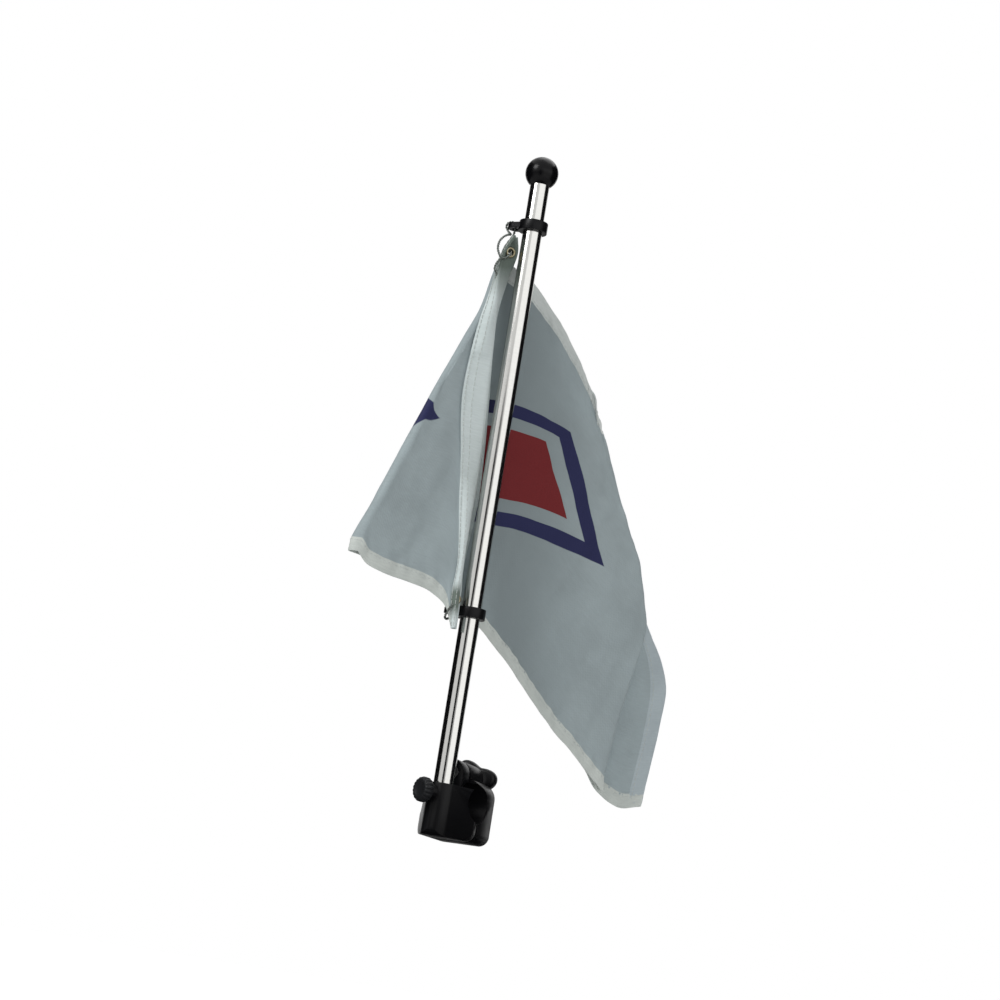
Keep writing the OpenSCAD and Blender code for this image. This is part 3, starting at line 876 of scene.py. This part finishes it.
# Twisted wire ties from the clips' eyes through the grommets. The upper one ends in a twisted tail.
WIRE_RADIUS = 0.42
WIRE_PITCH = 3.2
upper_loop = [(-7.6, 9.3, 374.2), (-9.4, 11.6, 375.1), (-11.2, 13.8, 374), (-11.6, 14.2, 371.8),
              (-10.6, 13, 369), (-10.6, 10, 366.6), (-12.2, 6.4, 364.8), (-15.2, 4.2, 363.4),
              (-18.8, 2.8, 360.8), (-22, 2, 356.4), (-22.8, 0.8, 350.4), (-19.8, -0.2, 345.6),
              (-15.6, 0.4, 347.2), (-12.8, 1, 351), (-11.9, 4.6, 352.8), (-10.4, 7.6, 357),
              (-8.6, 9.2, 364), (-7.6, 9.3, 370.4), (-7.6, 9.3, 374.4)]
upper_tail = [(-19.8, -0.2, 345.6), (-22.2, 0.2, 342), (-23, 0.8, 337.6), (-20.8, 0.8, 334.6),
              (-20.4, 1, 331.4)]
lower_loop = [(-13, -3, 122), (-13.4, 0.6, 122.9), (-12.3, 4.6, 121.8), (-10, 6.7, 118.4),
              (-9.9, 6.9, 113.4), (-12.6, 6, 110.4), (-16.8, 2.4, 110.4), (-18.2, -1.6, 113.4),
              (-16.2, -4.4, 118.6), (-13, -3, 122)]
for name, lines in (("upper_tie", (upper_loop, upper_tail)), ("lower_tie", (lower_loop,))):
    strands = [strand for line in lines for strand in twisted_pair(line, WIRE_RADIUS, WIRE_PITCH)]
    placed = [([on_flag @ point for point in points], faces) for points, faces in strands]
    solid(name + "_twisted", placed, tie_wire, "flag", "tie_wire", [name])


# Lockstitch: a row of short threads on both faces of the cloth
STITCH = 2.6
STITCH_GAP = 0.8
STITCH_RADIUS = 0.2
STITCH_SHAPE = (0, 0.18, 0.82, 1)       # where a stitch bends, as shares of its length
STITCH_SINK = (-0.3, 0.1, 0.1, -0.3)    # and how it stands off the cloth there


def stitch_row(line, normals, lift):
    """Stitches along a line of cloth points, lying on its front and its rear."""
    run = np.concatenate([[0], np.cumsum(np.linalg.norm(np.diff(line, axis=0), axis=1))])
    stitches = []
    for start in np.arange(1, run[-1] - STITCH, STITCH + STITCH_GAP):
        along = start + STITCH * np.array(STITCH_SHAPE)
        at = np.stack([np.interp(along, run, line[:, k]) for k in range(3)], axis=1)
        up = np.stack([np.interp(along, run, normals[:, k]) for k in range(3)], axis=1)
        off = up * (lift + np.array(STITCH_SINK)[:, None])
        for side in (1, -1):
            stitches.append(tube_along(from_pole(at + side * off), STITCH_RADIUS, 6))
    return stitches


rows = []
for place, lift in (((from_seam, hem_rows - 2), 0.3), ((from_seam, ROWS + 1 - top_rows), 0.3),
                    (seam_column - 1, HEADING_LIFT), (seam_column - 4, HEADING_LIFT),
                    (1 - fly_columns, 0.25)):
    rows += stitch_row(cloth[place], cloth_normals[place], lift)
stitching = solid("hem_and_heading_stitches", rows, thread, "flag", None)


# ----------------------------------------
# Studio
# ----------------------------------------
CAMERA_PLACE = Vector((555.02, -1498.46, -116.59)) * MM
CAMERA_TURN = math.radians(20.355)              # to the left of straight at the rail
CAMERA_TILT = math.radians(11.034)              # upward
CAMERA_ROLL = math.radians(9.141)
SENSOR = 36
FOCAL_LENGTH = 91.17

# Lengths of the set, in metres
FLOOR_DROP = 0.27       # the floor lies this far below the clamp
FLOOR_HALF = 60.0       # and runs on past where its edge would show
GLOW_START = 0.2        # the floor is lifted from this far out, by this share,
GLOW_LEAST = 0.2
GLOW_END = 1.3          # to fully white here
CARD_RADIUS = 1.3
CARD_LOW, CARD_HIGH = -0.8, 1.6
FRONT_CARD_HIGH = 0.56
LOWER_CARD_RADIUS = 0.24
LOWER_CARD_HEIGHT = -0.06
LOWER_CARD_SIDES = 32
FLAG_MIDDLE = (0.03, 0, 0.2)


def add_camera():
    """The camera, from its place and its three turns."""
    ahead = Vector((-math.sin(CAMERA_TURN) * math.cos(CAMERA_TILT),
                    math.cos(CAMERA_TURN) * math.cos(CAMERA_TILT), math.sin(CAMERA_TILT)))
    level = Vector((math.cos(CAMERA_TURN), math.sin(CAMERA_TURN), 0))
    upright = level.cross(ahead)
    right = level * math.cos(CAMERA_ROLL) + upright * math.sin(CAMERA_ROLL)
    up = upright * math.cos(CAMERA_ROLL) - level * math.sin(CAMERA_ROLL)
    lens = bpy.data.cameras.new("camera")
    lens.sensor_width = SENSOR
    lens.lens = FOCAL_LENGTH
    camera = bpy.data.objects.new("camera", lens)
    camera.matrix_world = Matrix((right, up, -ahead)).transposed().to_4x4()
    camera.matrix_world.translation = CAMERA_PLACE
    bpy.context.scene.collection.objects.link(camera)
    bpy.context.scene.camera = camera


def softbox(name, place, size, power, aim=FLAG_MIDDLE):
    """A soft rectangular lamp that the camera doesn't see."""
    light = bpy.data.lights.new(name, "AREA")
    light.shape = "RECTANGLE"
    light.size, light.size_y = size
    light.energy = power
    made = bpy.data.objects.new(name, light)
    made.location = place
    made.visible_camera = False
    made.rotation_euler = (Vector(aim) - Vector(place)).to_track_quat("-Z", "Y").to_euler()
    bpy.context.scene.collection.objects.link(made)


def light_world():
    """Soft grey light from all round. Lens, mirror and glass rays see a white backdrop."""
    world = bpy.data.worlds.new("studio")
    world.use_nodes = True
    bpy.context.scene.world = world
    tree = world.node_tree
    tree.nodes.clear()
    path = node(tree, "LightPath")
    shown = path.outputs["Is Camera Ray"]
    for kind in ("Is Glossy Ray", "Is Transmission Ray"):
        shown = node(tree, "Math", links={0: shown, 1: path.outputs[kind]}, operation="MAXIMUM").outputs[0]
    sky = node(tree, "Background", {"Color": (1, 1, 1, 1)}, {"Strength": spread(tree, shown, 0.4, 1)})
    node(tree, "OutputWorld", links={"Surface": sky.outputs[0]})


def add_floor():
    """The white ground, well below the clamp."""
    mesh = bpy.data.meshes.new("floor")
    corners = [(FLOOR_HALF * x, FLOOR_HALF * y, 0) for x, y in ((-1, -1), (1, -1), (1, 1), (-1, 1))]
    mesh.from_pydata(corners, [], [(0, 1, 2, 3)])
    mesh.materials.append(paper_floor())
    floor = bpy.data.objects.new("floor", mesh)
    floor.location.z = cad_low[2] - FLOOR_DROP
    bpy.context.scene.collection.objects.link(floor)


def hang_card(name, points, faces):
    """A black card that only mirror rays meet, so it takes no light from the set."""
    mesh = bpy.data.meshes.new(name)
    mesh.from_pydata(points, [], faces)
    mesh.materials.append(flocked_black)
    card = bpy.data.objects.new(name, mesh)
    bpy.context.scene.collection.objects.link(card)
    card.visible_camera = card.visible_diffuse = card.visible_shadow = card.visible_transmission = False


def curved_card(name, start, end, high=CARD_HIGH):
    """A curved black card round the pole. Its turns are in degrees from the camera, positive to the
    camera's right."""
    ahead = math.atan2(CAMERA_PLACE.y - POLE_BACK * MM, CAMERA_PLACE.x)
    steps = 24
    turns = [ahead + math.radians(start + (end - start) * i / steps) for i in range(steps + 1)]
    points = [(CARD_RADIUS * math.cos(t), POLE_BACK * MM + CARD_RADIUS * math.sin(t), z)
              for t in turns for z in (CARD_LOW, high)]
    hang_card(name, points, [(2 * i, 2 * i + 2, 2 * i + 3, 2 * i + 1) for i in range(steps)])


def lower_card():
    """A round black card just under the clamp, for the dark underside of the steel."""
    turns = np.linspace(0, 2 * math.pi, LOWER_CARD_SIDES + 1)[:-1]
    points = [(LOWER_CARD_RADIUS * math.cos(t), LOWER_CARD_RADIUS * math.sin(t), LOWER_CARD_HEIGHT)
              for t in turns]
    hang_card("black_card_below", points, [tuple(range(LOWER_CARD_SIDES))])


add_camera()
light_world()
add_floor()
flocked_black = black_flock()
curved_card("black_card_right", 72, 148)
curved_card("black_card_left", -148, -68)
curved_card("black_card_front", -22, 10, FRONT_CARD_HIGH)
lower_card()
softbox("key_softbox", (-0.9, -1.5, 1.3), (0.8, 0.8), 21)
softbox("fill_softbox", (0.86, -0.62, 0.1), (1.5, 1.5), 4.2, aim=(0.06, 0.02, 0.14))
softbox("top_softbox", (0.2, 0.6, 1.8), (1.4, 1.4), 10)
bpy.context.scene.view_settings.view_transform = "Standard"
